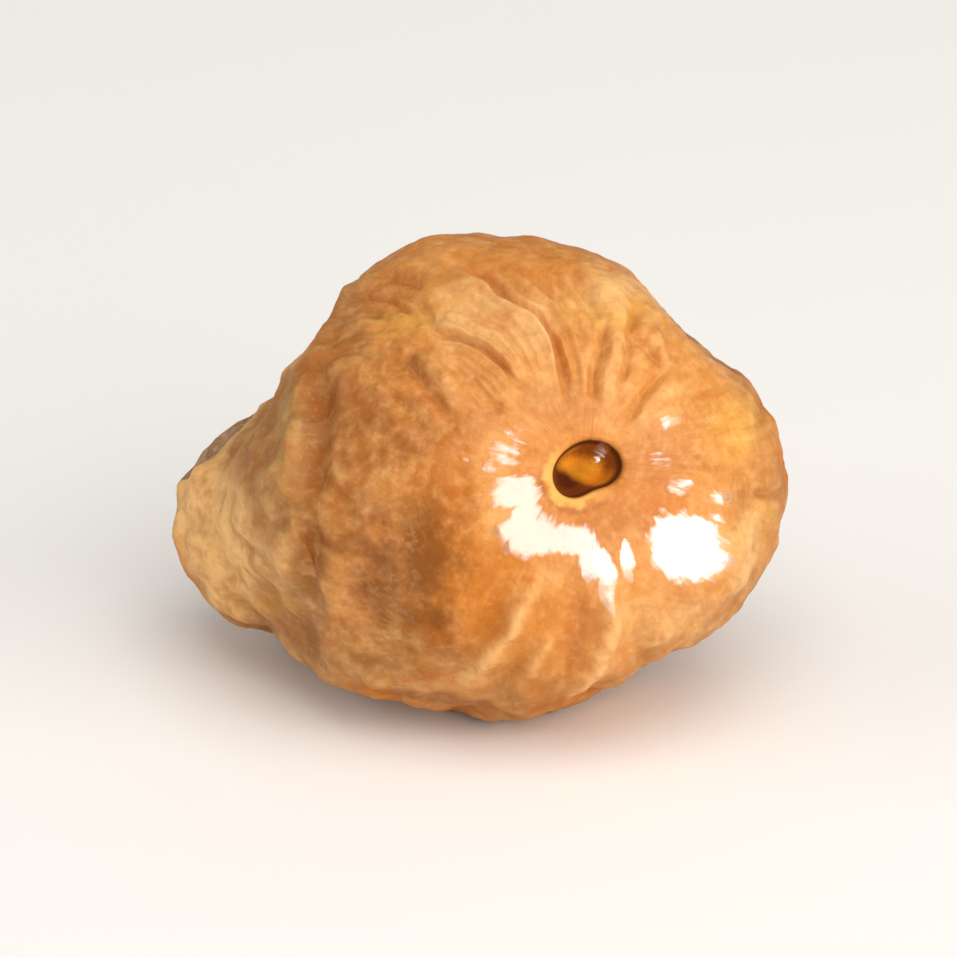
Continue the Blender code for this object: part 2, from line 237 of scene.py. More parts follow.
# Creases seen from the front: depth, half width, lobe beside it (left of the run if positive,
# right if negative) and points, all in millimetres.
CREASES = (
    (0.85, 0.38, -0.55, ((-6.5, 17.2), (-5.1, 16.2), (-3.8, 15.2), (-2.5, 14.1), (-0.5, 13.2),
                         (0.7, 11.9), (1.2, 10.5), (1.7, 8.7), (1.9, 6.5))),
    (0.40, 0.50, -0.15, ((-2.2, 12.6), (-0.6, 11.4), (0.3, 9.6), (0.8, 7.8))),
    (0.75, 0.29, 0.55, ((-8.3, 12.5), (-7.9, 11.4), (-6.3, 11.1), (-5.1, 10.7), (-4.0, 9.9),
                        (-2.9, 8.9), (-1.8, 7.4))),
    (0.45, 0.38, 0.25, ((-10.1, 14.5), (-9.1, 13.8), (-8.5, 12.8), (-7.8, 11.9))),
    (0.75, 0.36, 0.18, ((-15.0, 14.2), (-13.2, 14.6), (-11.6, 14.3), (-10.1, 13.6), (-9.0, 12.5))),
    (0.65, 0.36, 0.16, ((-14.6, 14.9), (-12.5, 15.2), (-10.6, 14.7), (-9.3, 14.0))),
    (0.70, 0.36, 0.16, ((-16.1, 12.3), (-14.7, 13.2), (-13.2, 13.4), (-11.6, 12.7))),
    (0.60, 0.36, 0.15, ((-13.6, 15.7), (-11.8, 16.1), (-10.0, 15.6), (-8.7, 14.6))),
    (0.45, 0.45, 0.25, ((-9.9, 9.6), (-8.9, 8.0), (-7.6, 6.4), (-6.6, 4.6))),
    (0.40, 0.45, 0.20, ((-7.6, 9.3), (-5.6, 8.3), (-3.8, 6.5), (-2.8, 5.0))),
    (0.55, 0.85, 0.0, ((-11.8, 7.9), (-10.5, 6.1), (-9.2, 4.7), (-8.0, 2.9))),
    (0.60, 0.50, 0.35, ((2.0, 16.8), (3.2, 14.9), (4.2, 13.6), (4.6, 11.9))),
    (0.75, 0.36, 0.35, ((6.4, 11.7), (7.4, 10.7), (8.3, 9.8), (9.2, 8.8))),
    (0.60, 0.45, 0.40, ((4.9, 12.6), (4.5, 10.6), (4.0, 8.2), (3.8, 5.8))),
    (0.50, 0.45, -0.35, ((6.6, 14.8), (7.0, 12.4), (6.4, 9.6), (5.7, 6.6))),
    (0.45, 0.40, 0.30, ((9.2, 8.8), (8.3, 7.4), (7.2, 6.0), (6.3, 4.8))),
    (0.40, 0.45, -0.20, ((8.6, 13.2), (9.4, 11.2), (10.1, 9.2))),
    (0.60, 0.85, 0.0, ((2.4, -7.8), (2.9, -9.8), (2.6, -12.0), (0.6, -14.6))),
    (0.35, 0.80, 0.0, ((7.2, -8.4), (7.6, -10.5), (7.0, -12.8))),
    (0.35, 0.90, 0.0, ((-2.4, -7.4), (-3.6, -10.4), (-6.2, -13.1))),
    (0.75, 0.45, 0.0, ((19.2, -0.5), (17.2, -0.7), (15.6, -0.4))),
    (1.35, 1.05, 0.0, ((-15.8, 10.3), (-16.3, 7.5), (-16.7, 4.5), (-17.2, 2.2), (-17.4, -1.2))),
    (1.15, 1.10, 0.0, ((-17.4, -1.2), (-17.5, -4.7), (-17.2, -6.9), (-17.2, -11.0))),
    (0.50, 0.80, 0.0, ((-21.0, 2.9), (-21.4, -0.9))),
)
CORNER_CUTS = 2
CORNER_SHARE = 0.25

# A lobe's crest beside its crease and its slopes towards it and away, in half widths of the crease.
LOBE_OFF = 1.7
LOBE_SLOPES = (1.1, 4.5)

# How lines fade at their ends: over what share of their run, and what is left at the start and end.
CREASE_ENDS = (0.25, 0.25, 0.25)
FLOW_ENDS = (0.3, 0.0, 0.0)
RIDGE_ENDS = (0.3, 0.3, 0.0)

# Fine lines that fill the lobes between two creases: the creases' rows and how many lines.
FLOWS = ((0, 2, 4), (2, 9, 3), (0, 11, 3), (4, 6, 2), (7, 5, 2), (5, 4, 1), (0, 13, 1))
FLOW_DEPTH = 0.36
FLOW_HALF_WIDTH = 0.32
FLOW_POINTS = 9

# Soft ridges seen from the front: height, half width and points, in millimetres.
RIDGES = (
    (0.65, 0.75, ((0.4, -6.6), (-0.4, -7.6), (-1.2, -8.9), (-2.3, -11.1), (-4.5, -13.5), (-6.6, -15.5))),
    (0.65, 0.70, ((4.9, -7.4), (5.2, -8.9), (5.3, -11.4), (4.3, -13.5), (1.5, -16.3))),
    (0.35, 0.60, ((-1.6, -14.4), (-0.2, -13.0), (0.9, -10.6))),
)
# The share of a ridge's half width on its crest that gets a painted highlight.
CREST_SHARE = 0.6

# How far the lines above and the tints below wander from where they are given, in millimetres.
FOLD_WOBBLE = 0.28
TINT_WOBBLE = 0.56

# Where traced folds take over from pleats and wrinkles, seen from the front: strength, middle and
# half sizes in millimetres, and how much of each they take away.
TRACED = ((1.0, (-4.5, 11.5), (9.5, 7.0)), (1.0, (1.5, -12.0), (8.0, 5.0)))
TRACED_OFF_PLEATS = 0.9
TRACED_OFF_WRINKLES = 0.7

# Smooth mounds seen from the front: height, middle and half width, in millimetres.
MOUNDS = (
    (0.30, (-3.2, -2.6), 2.0),
    (0.25, (9.3, 1.2), 0.8),
    (0.25, (10.8, 0.3), 0.9),
    (0.22, (13.6, -0.9), 0.8),
    (0.25, (8.8, 5.2), 1.0),
)

# Smooth flat spots seen from the front: middle, flat and outer reach in millimetres, how flat they
# are from 0 to 1, and where they face.
FACETS = (
    ((10.9, -4.7), 2.5, 5.6, 0.9, (0.46, -0.82, 0.34)),
    ((0.5, -4.6), 1.0, 5.0, 0.5, (0.20, -0.92, 0.33)),
)
FACET_RELIEF = 0.12

# Tints of the side that faces the front: strength, middle and half sizes in millimetres.
TINTS = {
    "amber": (
        (1.0, (-4.2, -7.0), (4.6, 4.8)),
        (0.5, (1.0, -11.0), (6.5, 5.0)),
        (0.7, (-6.5, 0.5), (2.5, 3.5)),
        (0.8, (2.5, -0.5), (6.0, 5.5)),
        (0.6, (8.4, -1.0), (3.0, 3.0)),
    ),
    "brown": (
        (1.1, (-8.8, -5.0), (2.6, 4.8)),
        (0.8, (-11.6, -6.5), (3.4, 5.0)),
        (0.7, (-9.2, -9.4), (2.8, 2.8)),
        (0.5, (-13.2, -4.5), (3.2, 5.5)),
        (0.45, (-12.5, 4.0), (4.5, 6.5)),
        (0.45, (-9.5, 8.5), (3.0, 2.0)),
    ),
    # Painted shade in the neck's deep creases (the first, second and last rows), and a dusky tone on the
    # left.
    "dusk_and_shade": (
        (1.1, (-16.7, 4.5), (1.2, 6.0)),
        (1.1, (-17.4, -7.0), (1.4, 7.5)),
        (0.55, (-12.5, 3.0), (4.5, 7.5)),
        (0.6, (-21.3, 0.8), (0.9, 2.6)),
    ),
    "ruddy": (
        (1.0, (8.4, 1.8), (4.0, 3.2)),
        (0.9, (6.0, -2.2), (3.0, 1.8)),
        (0.6, (0.8, 5.6), (3.6, 2.2)),
        (0.6, (-6.5, 5.5), (3.6, 3.6)),
        (0.8, (-6.6, 0.5), (2.4, 4.5)),
        (0.4, (-17.0, -11.5), (3.4, 2.4)),
        (0.8, (3.0, -9.5), (1.6, 3.5)),
    ),
    "crackle": (
        (1.0, (-11.3, -8.3), (3.2, 3.0)),
        (0.8, (-10.3, -3.6), (2.4, 2.6)),
    ),
    # Pale tone; the first, second, third and sixth rows are partly painted light on the neck's end, the
    # lower right and the top fold, and the last row is a painted highlight right of the eye.
    "pale": (
        (1.5, (-24.8, -4.5), (4.2, 6.4)),
        (0.75, (9.5, -10.0), (3.4, 3.0)),
        (0.75, (15.5, -5.5), (2.4, 3.4)),
        (0.6, (-19.5, -6.0), (1.6, 3.0)),
        (0.6, (4.5, 14.3), (4.0, 2.5)),
        (1.2, (-3.2, 12.2), (4.2, 2.8)),
        (0.4, (-23.0, -1.5), (2.0, 3.0)),
        (0.5, (9.8, 4.9), (1.4, 0.9)),
    ),
    "rose": (
        (0.3, (7.6, 1.5), (2.4, 2.6)),
        (0.8, (-15.2, 7.4), (0.8, 1.2)),
        (0.3, (9.0, -10.0), (3.0, 3.0)),
        (0.7, (-11.5, -5.0), (2.2, 2.4)),
        (0.4, (-12.8, -1.0), (2.0, 2.5)),
    ),
    "yellow": (
        (0.6, (14.5, 4.3), (3.0, 3.5)),
        (0.7, (6.5, 13.8), (4.0, 2.5)),
        (0.6, (-10.5, 12.4), (2.2, 1.6)),
        (0.5, (-21.0, -9.0), (3.0, 2.0)),
        (0.6, (16.5, -5.0), (3.0, 4.0)),
    ),
    "wet": (
        (1.0, (-2.1, -0.6), (2.0, 1.5)),
        (1.0, (-0.6, -3.7), (2.8, 1.9)),
        (1.0, (-1.2, -2.2), (1.4, 1.4)),
        (1.0, (1.5, -4.0), (1.4, 1.4)),
        (1.0, (2.7, -4.1), (1.6, 1.5)),
        (1.0, (4.0, -5.8), (1.1, 1.5)),
        (1.0, (4.9, -7.5), (0.7, 1.9)),
        (0.47, (-3.0, 2.6), (3.0, 2.6)),
        (0.9, (6.3, -5.7), (0.6, 1.8)),
        (1.0, (10.9, -4.7), (3.1, 3.0)),
        (0.56, (10.3, 0.1), (1.6, 0.9)),
        (0.62, (13.5, -0.9), (1.2, 0.8)),
        (0.42, (8.8, 1.8), (1.2, 1.0)),
        (0.40, (9.6, 4.6), (1.6, 1.2)),
    ),
    "olive": (
        (0.6, (-21.0, -1.0), (2.0, 4.5)),
        (0.6, (-17.6, -9.5), (1.6, 3.5)),
        (1.1, (-18.6, 4.5), (2.2, 5.5)),
    ),
}

# Tints of the sides that the photograph doesn't show: strength, a noise's size in millimetres and its
# offset, and the levels of it at which the tint starts and is full.
BEHIND = {
    "dusk_and_shade": (0.6, 6.0, 111.0, 0.2, 0.6),
    "rose": (0.4, 6.0, 51.0, 0.1, 0.5),
    "yellow": (0.6, 8.0, 61.0, 0.1, 0.5),
    "olive": (0.5, 7.0, 71.0, 0.2, 0.6),
    "wet": (0.2, 5.0, 81.0, 0.2, 0.6),
    "crackle": (0.5, 6.0, 91.0, 0.3, 0.7),
    "pale": (0.5, 6.0, 101.0, 0.2, 0.6),
}
BROAD_TINTED = (0.0, 0.5)
BROWN_BEHIND = 0.4
BROWN_PATCH = (0.25, 0.6)
# Painted shade in the groove beside the eye's hole, in dusk.
GROOVE_PAINTED_SHADE = 2.2
FRONT_OVER_BEHIND = 0.6

# Colours, as linear red, green and blue.
GOLD = (0.62, 0.24, 0.046)
AMBER = (0.53, 0.150, 0.006)
RUDDY = (0.42, 0.120, 0.018)
TAN = (0.310, 0.138, 0.043)
# Dusky tone, also the painted shade of creases on dry skin and in the groove by the eye.
DUSK_AND_SHADE = (0.235, 0.092, 0.025)
# Deep tone of mottles and streaks, also the painted shade of hollows and creases.
DEEP_AND_SHADE = (0.43, 0.120, 0.012)
# Pale tone, also the painted highlight of raised parts and crests.
PALE_AND_LIGHT = (0.86, 0.50, 0.19)
ROSE = (0.66, 0.25, 0.115)
BROWN = (0.21, 0.056, 0.002)
YELLOW = (0.84, 0.46, 0.060)
OLIVE = (0.36, 0.22, 0.065)
BLOOM = (0.80, 0.50, 0.25)
RIM = (0.84, 0.43, 0.10)
# Painted shadow in the hole's lower left and at its edge.
PIT_PAINTED_SHADOW = (0.11, 0.019, 0.001)
PIT_SHADE = (0.36, 0.095, 0.008)
# The amber syrup, brightened as painted light where its band looks lit.
SYRUP_AND_PAINTED_LIGHT = (1.0, 0.38, 0.024)
SCAR_DARK = (0.20, 0.098, 0.048)
SCAR_PALE = (0.54, 0.315, 0.175)
WHITE = (1.0, 1.0, 1.0)
WINDOW_WHITE = (1.0, 0.99, 0.98)
AIR_WHITE = (1.0, 0.99, 0.97)
FLOOR_WHITE = (0.93, 0.90, 0.86)

# Noises of the material: size, detail, roughness and distortion. The ribs have a space of their own.
PATCH_GRAIN = (2.2 * MM, 4.0, 0.6, 0.2)
MOTTLE_GRAIN = (1.0 * MM, 2.0, 0.55, 0.1)
FLECK_GRAIN = (0.45 * MM, 2.0, 0.5, 0.0)
FIBRE_GRAIN = (0.5 * MM, 4.0, 0.6, 0.2)
RIB_GRAIN = (1.1, 2.0, 0.5, 0.2)

# The levels of each noise at which a colour starts and is full.
PATCH_DUSK = (0.42, 0.64)
PATCH_DEEP = (0.46, 0.72)
MOTTLE_HIGH = (0.46, 0.74)
MOTTLE_LOW = (0.26, 0.54)
RIB_HIGH = (0.50, 0.76)
RIB_LOW = (0.24, 0.50)
FLECK_HIGH = (0.54, 0.76)
FLECK_LOW = (0.24, 0.46)
FIBRE_PALE = (0.36, 0.66)

# Layers of tints: name, colour, how ragged the edge is, and share.
TINT_EDGE = (0.15, 0.85)
TINT_LAYERS = (
    ("yellow", YELLOW, 0.9, 0.6),
    ("pale", PALE_AND_LIGHT, 0.8, 0.92),
    ("amber", AMBER, 0.9, 0.85),
    ("ruddy", RUDDY, 0.8, 0.60),
    ("olive", OLIVE, 0.8, 0.65),
    ("dusk_and_shade", DUSK_AND_SHADE, 0.5, 0.80),
    ("rose", ROSE, 1.0, 0.65),
)
DRY_TAN = 0.9
# Hollows get painted shade, going towards dusk on dry skin.
DRY_SHADE_DUSK = 0.75
# Raised parts and the ridges' crests get a painted highlight.
RAISED_HIGHLIGHT = 0.8
RAISED_LOW_HIGHLIGHT = 0.6
LOW_PALE = 0.20
LOW_DRY_PALE = 0.08
CREST_HIGHLIGHT_LEVEL = 1.15
EVEN_SHARE = 0.45
STAIN_EDGE = (0.02, 1.0)
STAIN_RAGGED = (0.9, 0.6)

# The cracks of the bloom: the size of a cell of their net, how far a line is crumbled, how many
# crumbs go across the fig, how wide a line is, and where the bloom is cracked.
NET_SIZE = 0.8 * MM
NET_CRUMBLED = 1.2 * MM
NET_CRUMBS = 625.0
NET_LINE = (0.02, 0.16)
NET_MOTTLE = (0.42, 0.62)
CRACKLE_EDGE = (0.15, 0.7)

# The eye's rim and hole: how far from the hole's edge each thing lies, and on which side: the places
# there count right and up from its middle, in reaches of the hole.
RIM_START = (0.0, 0.02)
RIM_END = (0.035, 0.075)
RIM_RAGGED = 0.10
RIM_SIDE = (-0.45, -0.3)
RIM_SHOWN = (0.4, 1.1)
RIM_SHARE = 0.8
PIT_EDGE = (0.008, 0.014)
# In the hole: painted shadow in a line at its edge and at its lower left, painted shade towards its walls
# and upper right, and painted light in the syrup's band.
PIT_EDGE_LINE_SHADE = (-0.004, 0.006)
PIT_WALL_SHADE = (-0.06, 0.0)
PIT_WALL_SHADE_SHARE = 0.5
SYRUP_SIDE = (0.62, 0.78)
SYRUP_RAGGED = 0.35
SYRUP_START = (-0.50, 0.02)
SYRUP_END = (0.32, 0.88)
GLINT_PLACE = (0.80, 0.50)
GLINT_HALF_SIZES = (0.22, 0.46)
GLINT_EDGE = (0.6, 1.2)

# The cork of the scar, whose levels are those of the scar itself.
FIBRE_SHARE = 0.6
CORK_EDGE = (0.05, 0.45)
CORK_CORE = (0.35, 0.95)
CORK_SHARE = 0.9
BRIM_SHARE = 0.5

# Gloss, wetness and bumps.
SUPPLE_ROUGHNESS = 0.45
DRY_ROUGHNESS = 0.62
PATCH_ROUGHNESS = 0.25
PIT_ROUGHNESS = 0.9
SCAR_ROUGHNESS = 0.8
FLOOR_ROUGHNESS = 0.6
SUPPLE_COAT = 0.02
WET_EDGE = (0.36, 0.62)
WET_RAGGED = (0.5, 0.6)
BUMP_STRENGTH = 0.9
BUMP_HEIGHT = 0.24 * MM
BUMP_SHARES = (0.7, 0.25, 0.5)
WET_BUMP_STRENGTH = 0.35
WET_BUMP_HEIGHT = 0.10 * MM

# What is the same all over the skin.
SKIN_FINISH = {
    "Coat Roughness": 0.16,
    "Coat IOR": 3.2,
    "Subsurface Weight": 0.15,
    "Subsurface Radius": (1.0, 0.35, 0.10),
    "Subsurface Scale": 1.2 * MM,
    "Specular IOR Level": 0.16,
}

# Soft lights: direction from the fig (right, back, up), size in metres, power in watts and colour.
LIGHTS = {
    "window": ((0.64, -0.70, 0.33), (1.26, 0.84), 7.8, WINDOW_WHITE),
    "top": ((0.10, -0.38, 0.92), (0.8, 0.8), 4.4, WHITE),
    "left": ((-0.88, -0.20, 0.43), (0.8, 0.6), 1.7, WHITE),
    "right": ((0.80, -0.55, 0.20), (0.8, 0.3), 1.0, WHITE),
}
LIGHT_DISTANCE = 0.9
AIR_STRENGTH = 0.36
FLOOR_SIZE = 4.0

# The camera looks at the fig's middle, with its sensor and lens in millimetres.
AIM = (0.0, 0.0, 17.0 * MM)
SENSOR_WIDTH = 36.0
LENS = 330.0
CAMERA_DISTANCE = 0.65
CLIP_START = 0.01


def unit(x, y, z):
    v = np.array((x, y, z), float)
    return v / np.linalg.norm(v)


EYE = unit(
    math.sin(EYE_TURN) * math.cos(EYE_RISE),
    -math.cos(EYE_TURN) * math.cos(EYE_RISE),
    math.sin(EYE_RISE),
)
STALK = unit(*STALK_TOWARDS)
BEND = math.pi - math.acos(float(EYE @ STALK))
BEND_AXIS = unit(*np.cross(-EYE, STALK))
ACROSS = unit(*np.cross((0.0, 0.0, 1.0), EYE))
TALL = np.cross(EYE, ACROSS)
FRONT_UP = np.array((0.0, math.sin(FRONT_VIEW_RISE), math.cos(FRONT_VIEW_RISE)))
FRONT_TOWARDS = np.array((0.0, -math.cos(FRONT_VIEW_RISE), math.sin(FRONT_VIEW_RISE)))


def ease(low, high, x):
    """0 up to low, 1 from high, and a smooth rise between them."""
    t = np.clip((x - low) / (high - low), 0.0, 1.0)
    return t * t * (3.0 - 2.0 * t)


def fade(low, high, x):
    return 1.0 - ease(low, high, x)


def hill(x):
    return np.exp(-(x ** 2))


def turned(points, axis, angle):
    cos, sin = np.cos(angle)[:, None], np.sin(angle)[:, None]
    along = (points @ axis)[:, None] * axis
    return along + (points - along) * cos + np.cross(axis, points) * sin


def directions(fall, turn):
    straight = (
        np.outer(np.sin(fall) * np.cos(turn), ACROSS)
        + np.outer(np.sin(fall) * np.sin(turn), TALL)
        + np.outer(np.cos(fall), EYE)
    )
    return turned(straight, BEND_AXIS, BEND * ease(0.0, math.pi, fall))


def outside_body(p):
    half_sizes = (BODY_HALF_DEPTH, BODY_HALF_WIDTH, BODY_HALF_HEIGHT)
    q = np.stack([p @ axis / half for axis, half in zip((EYE, ACROSS, TALL), half_sizes)], 1)
    return (np.linalg.norm(q, axis=1) - 1.0) * BODY_HALF_WIDTH


def outside_neck(p):
    axis = NECK_END - NECK_ROOT
    t = np.clip((p - NECK_ROOT) @ axis / (axis @ axis), 0.0, 1.0)
    radius = NECK_ROOT_RADIUS + t * (NECK_END_RADIUS - NECK_ROOT_RADIUS)
    return np.linalg.norm(p - NECK_ROOT - np.outer(t, axis), axis=1) - radius


def outside(p):
    """How far points are outside the body and the neck, which melt into each other."""
    body, neck = outside_body(p), outside_neck(p)
    h = np.clip(0.5 + 0.5 * (neck - body) / MELT, 0.0, 1.0)
    return neck + (body - neck) * h - MELT * h * (1.0 - h)


def reach_of_form(d):
    low, high = np.zeros(len(d)), np.full(len(d), LENGTH)
    for _ in range(HALVINGS):
        middle = (low + high) / 2
        inside = outside(d * middle[:, None]) < 0
        low, high = np.where(inside, middle, low), np.where(inside, high, middle)
    return low


def angle_to(d, centre):
    return np.arccos(np.clip(d @ centre, -1.0, 1.0))


def around(d, towards, reach):
    """1 in one direction, and smoothly less away from it."""
    return hill(angle_to(d, unit(*towards)) / reach)


def swells(d):
    return sum(height * MM * around(d, towards, reach) for towards, reach, height in SWELLS)


def pleated(d):
    """How deep the pleats are, from 0 to 1."""
    share = PLEATED_SHARE + sum(change * around(d, towards, reach) for towards, reach, change in PLEATED)
    return np.clip(share, 0.0, 1.0)


def stretch(turn):
    """How much further than HOLE_REACH the hole's edge is, as a share of it."""
    oval = HOLE_STRETCH * np.cos(2.0 * (turn - HOLE_LEAN))
    return oval + HOLE_UNEVEN * np.cos(3.0 * turn + HOLE_UNEVEN_TURN)


def hole_edge(turn):
    return HOLE_REACH * (1.0 + stretch(turn))


def ringed(fall, turn):
    """The rings moved onto the wall of the eye's hole, whose outline they follow."""
    off = fall - HOLE_REACH
    crowded = WALL_CROWDING * off * hill(off / WALL_CROWDING_REACH)
    fall = fall - crowded * ease(*WALL_CROWDING_START, fall)
    return fall * (1.0 + stretch(turn) * fade(*OUTLINE_FALL, fall))


def eye_relief(fall, turn):
    """The shallow dish of the eye, and in it the hole with its lip and a bead of syrup."""
    dish = -DISH_DEPTH * hill(fall / DISH_REACH)
    from_edge = fall - hole_edge(turn)
    lip = LIP_HEIGHT * hill((from_edge - LIP_REACH) / LIP_REACH)
    within = fade(-HOLE_WALL, HOLE_WALL, from_edge)
    away = np.hypot(fall * np.cos(turn) - BEAD_PLACE[0], fall * np.sin(turn) - BEAD_PLACE[1])
    bead = BEAD_HEIGHT * hill(away / BEAD_REACH)
    return dish + lip - within * (HOLE_DEPTH - bead)


def grain(x, y, z):
    return np.array([noise.noise(place) for place in zip(x.tolist(), y.tolist(), z.tolist())])


def speckle(p, size, offset):
    """Noise in space whose features are about size metres across."""
    return grain(*(p / size + offset).T)


def scarred(p, fall):
    """The neck's end cut flat, and how far each point is in the oval scar there and on its brim."""
    normal = unit(*SCAR_NORMAL)
    tall = unit(*(np.array((0.0, 0.0, 1.0)) - normal[2] * normal))
    off = p / MM - np.array(SCAR_PLACE)
    above = off @ normal * MM
    away = np.hypot(off @ tall / SCAR_HALF_SIZES[0], off @ np.cross(normal, tall) / SCAR_HALF_SIZES[1])
    away += SCAR_UNEVEN * speckle(p, *SCAR_OUTLINE)
    side = ease(*SCAR_SIDE_FALL, fall)
    scar = side * fade(*SCAR_EDGE, away)
    brim = side * hill((away - BRIM_REACH) / BRIM_HALF_WIDTH)
    cut = np.maximum(above, 0.0) * np.maximum(ease(*SCAR_FALL, fall), scar)
    return p + np.outer(BRIM_HEIGHT * brim - cut, normal), scar, brim


def swayed(fall, turn):
    """The turns with the sideways sway of the pleats."""
    return turn + SWAY * np.sin(fall) * grain(np.cos(turn), np.sin(turn), SWAY_CHANGE * fall)


def wrinkles(fall, turn, count, change, offset, width, power):
    """Valleys that run from the eye to the stalk: 1 at the bottom of each, 0 between them."""
    radius = count / (2.0 * math.pi)
    level = grain(radius * np.cos(turn) + offset, radius * np.sin(turn), change * fall)
    return np.clip(1.0 - np.abs(level) / width, 0.0, 1.0) ** power


def lumps(p, fall):
    level = speckle(p, *LUMPS) + SMALL_LUMP_SHARE * speckle(p, *SMALL_LUMPS)
    return level * ease(*LUMP_FALL, fall)


def weighed(shares, first, second):
    """A share that holds everywhere, and two more that hold where first and second do."""
    return shares[0] + shares[1] * first + shares[2] * second


def spots(seen, rows):
    """The strongest of some soft spots: rows of strength, middle and half sizes."""
    found = []
    for strength, middle, sizes in rows:
        found.append(strength * hill(np.linalg.norm((seen - middle) / sizes, axis=1)))
    return np.max(found, axis=0)


def run_of(line):
    """The share of a line's length that lies behind each of its points."""
    lengths = np.linalg.norm(np.diff(line, axis=0), axis=1)
    return np.concatenate(((0.0,), np.cumsum(lengths))) / lengths.sum()


def beside_line(points, line):
    """How far points are from a line, on which side of its run (left is 1), and how far along."""
    nearest = np.full(len(points), np.inf)
    side, along = np.zeros(len(points)), np.zeros(len(points))
    done = run_of(line)
    for i, (start, end) in enumerate(zip(line[:-1], line[1:])):
        run, there = end - start, points - start
        t = np.clip(there @ run / (run @ run), 0.0, 1.0)
        away = np.linalg.norm(there - np.outer(t, run), axis=1)
        closer = away < nearest
        nearest = np.where(closer, away, nearest)
        side = np.where(closer, np.sign(run[0] * there[:, 1] - run[1] * there[:, 0]), side)
        along = np.where(closer, done[i] + t * (done[i + 1] - done[i]), along)
    return nearest, side, along


def rounded(line):
    """The line with its corners cut off, again and again."""
    line = np.array(line)
    for _ in range(CORNER_CUTS):
        after_start = (1.0 - CORNER_SHARE) * line[:-1] + CORNER_SHARE * line[1:]
        before_end = CORNER_SHARE * line[:-1] + (1.0 - CORNER_SHARE) * line[1:]
        cut = np.stack((after_start, before_end), 1).reshape(-1, 2)
        line = np.vstack((line[:1], cut, line[-1:]))
    return line


def spread(line, count):
    """The line as count points, evenly spaced along it."""
    line = np.array(line)
    places = np.linspace(0.0, 1.0, count)
    return np.stack([np.interp(places, run_of(line), column) for column in line.T], 1)


def flow_lines():
    for first, second, count in FLOWS:
        start, end = (spread(CREASES[row][3], FLOW_POINTS) for row in (first, second))
        for i in range(1, count + 1):
            share = i / (count + 1)
            yield start + share * (end - start)


def faded(along, length, at_start, at_end):
    """1 along the middle of a line, and less within length of its ends."""
    start = at_start + (1.0 - at_start) * ease(0.0, length, along)
    return start * (at_end + (1.0 - at_end) * fade(1.0 - length, 1.0, along))


def creases(seen):
    """The heights of the ridges and the depths of the creases, and how far points are on a crest, which
    gets a painted highlight.
    """
    ridge, crease, crest = np.zeros(len(seen)), np.zeros(len(seen)), np.zeros(len(seen))
    for depth, half_width, beside, line in CREASES:
        away, side, along = beside_line(seen, rounded(line))
        share = faded(along, *CREASE_ENDS)
        crease = np.maximum(crease, depth * share * hill(away / half_width))
        if beside:
            off = away * side * np.sign(beside) - LOBE_OFF * half_width
            slope = np.where(off < 0.0, *LOBE_SLOPES) * half_width
            ridge = np.maximum(ridge, abs(beside) * share * hill(off / slope))
    for line in flow_lines():
        away, _, along = beside_line(seen, rounded(line))
        crease = np.maximum(crease, FLOW_DEPTH * faded(along, *FLOW_ENDS) * hill(away / FLOW_HALF_WIDTH))
    for height, half_width, line in RIDGES:
        away, _, along = beside_line(seen, rounded(line))
        share = faded(along, *RIDGE_ENDS)
        ridge = np.maximum(ridge, height * share * hill(away / half_width))
        crest = np.maximum(crest, height * share * hill(away / (CREST_SHARE * half_width)))
    return np.maximum(ridge, spots(seen, MOUNDS)), crease, crest


def pressed(p, seen, facing):
    """The skin with its smooth flat spots, each through the point at its middle."""
    p = p.copy()
    for middle, flat, outer, flatness, towards in FACETS:
        away = np.linalg.norm(seen - np.array(middle), axis=1)
        centre = p[np.argmin(np.where(facing > FACET_FACING, away, np.inf))]
        share = fade(flat, outer, away) * flatness * facing
        p += np.outer(share * ((centre - p) @ unit(*towards)), unit(*towards))
    return p


def ball_mesh(fall, turn):
    """Rings of points round the eye, closed by a point at the eye and one at the stalk."""
    at = np.arange(len(fall) * len(turn)).reshape(len(fall), len(turn))
    after = np.roll(at, -1, axis=1)
    eye, stalk = at.size, at.size + 1
    faces = np.stack((at[:-1], at[1:], after[1:], after[:-1]), -1).reshape(-1, 4).tolist()
    faces += [(eye, a, b) for a, b in zip(at[0].tolist(), after[0].tolist())]
    faces += [(stalk, b, a) for a, b in zip(at[-1].tolist(), after[-1].tolist())]
    mesh = bpy.data.meshes.new("fig_skin")
    mesh.from_pydata(np.zeros((at.size + 2, 3)), [], faces)
    every_fall = np.concatenate((np.repeat(fall, len(turn)), (0.0, math.pi)))
    every_turn = np.concatenate((np.tile(turn, len(fall)), (0.0, 0.0)))
    return mesh, every_fall, every_turn


def laid(p):
    """The skin pressed flat where it lies on the floor, with its middle above the origin."""
    p = p.copy()
    floor = p[:, 2].min() + FLAT_REST
    p[:, 2] = np.maximum(p[:, 2], floor) - floor
    p[:, :2] -= (p[:, :2].min(0) + p[:, :2].max(0)) / 2
    return p


def fitted(p, box):
    """The laid skin, as long as the CAD solid and in the middle of its box."""
    p = p * ((box[1][0] - box[0][0]) / np.ptp(p[:, 0]))
    p[:, :2] += (np.array(box[0][:2]) + np.array(box[1][:2])) / 2
    return p


